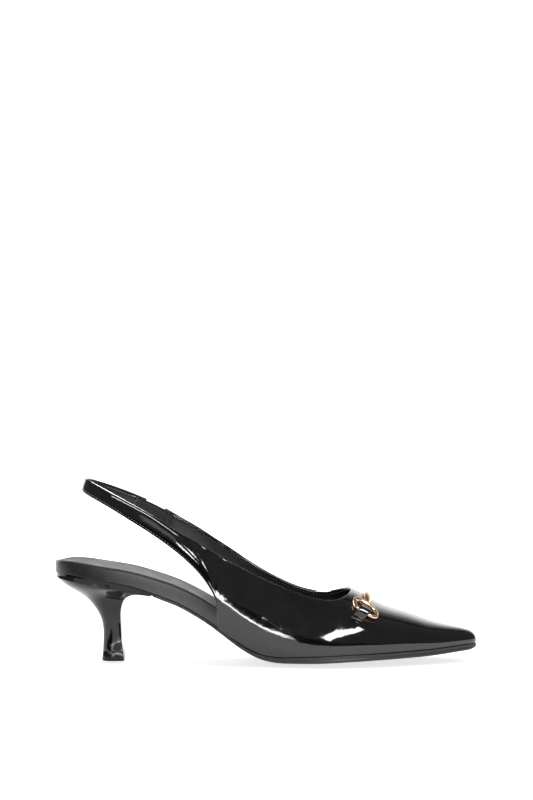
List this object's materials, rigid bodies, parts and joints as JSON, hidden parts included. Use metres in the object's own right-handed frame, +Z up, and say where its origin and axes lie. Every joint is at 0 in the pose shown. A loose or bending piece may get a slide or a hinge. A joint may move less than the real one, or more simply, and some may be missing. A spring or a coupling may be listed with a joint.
{
  "type": "slingback pump",
  "caption": "Pointed slingback pump in glossy leather: closed toe and quarters, sling strap with elastic, curved kitten heel, bit trim on the vamp.",
  "frame": {"origin": "on the floor, under the middle of the shoe's box", "axes": "X runs the length of the shoe with the toe at +X, +Y is the medial side, Z is up"},
  "size_m": [0.2614, 0.0818, 0.1138],
  "materials": {
    "patent_leather": "black patent leather, mirror gloss",
    "sock_leather": "dark grey lining leather, matte",
    "rand_leather": "black leather wrapped round the footbed, semi gloss",
    "sole_rubber": "black rubber, satin",
    "trim_metal": "polished metal in pale rose gold",
    "elastic_fabric": "black ribbed elastic"
  },
  "bodies": {
    "root": {"upper": "patent_leather", "elastic_gore": "elastic_fabric", "sock": "sock_leather", "footbed": "rand_leather", "outsole": "sole_rubber", "heel": "patent_leather", "heel_tip": "sole_rubber", "trim_bar": "trim_metal", "trim_ring_lateral": "trim_metal", "trim_ring_medial": "trim_metal", "trim_tab_lateral": "patent_leather", "trim_tab_medial": "patent_leather"}
  },
  "joints": []
}
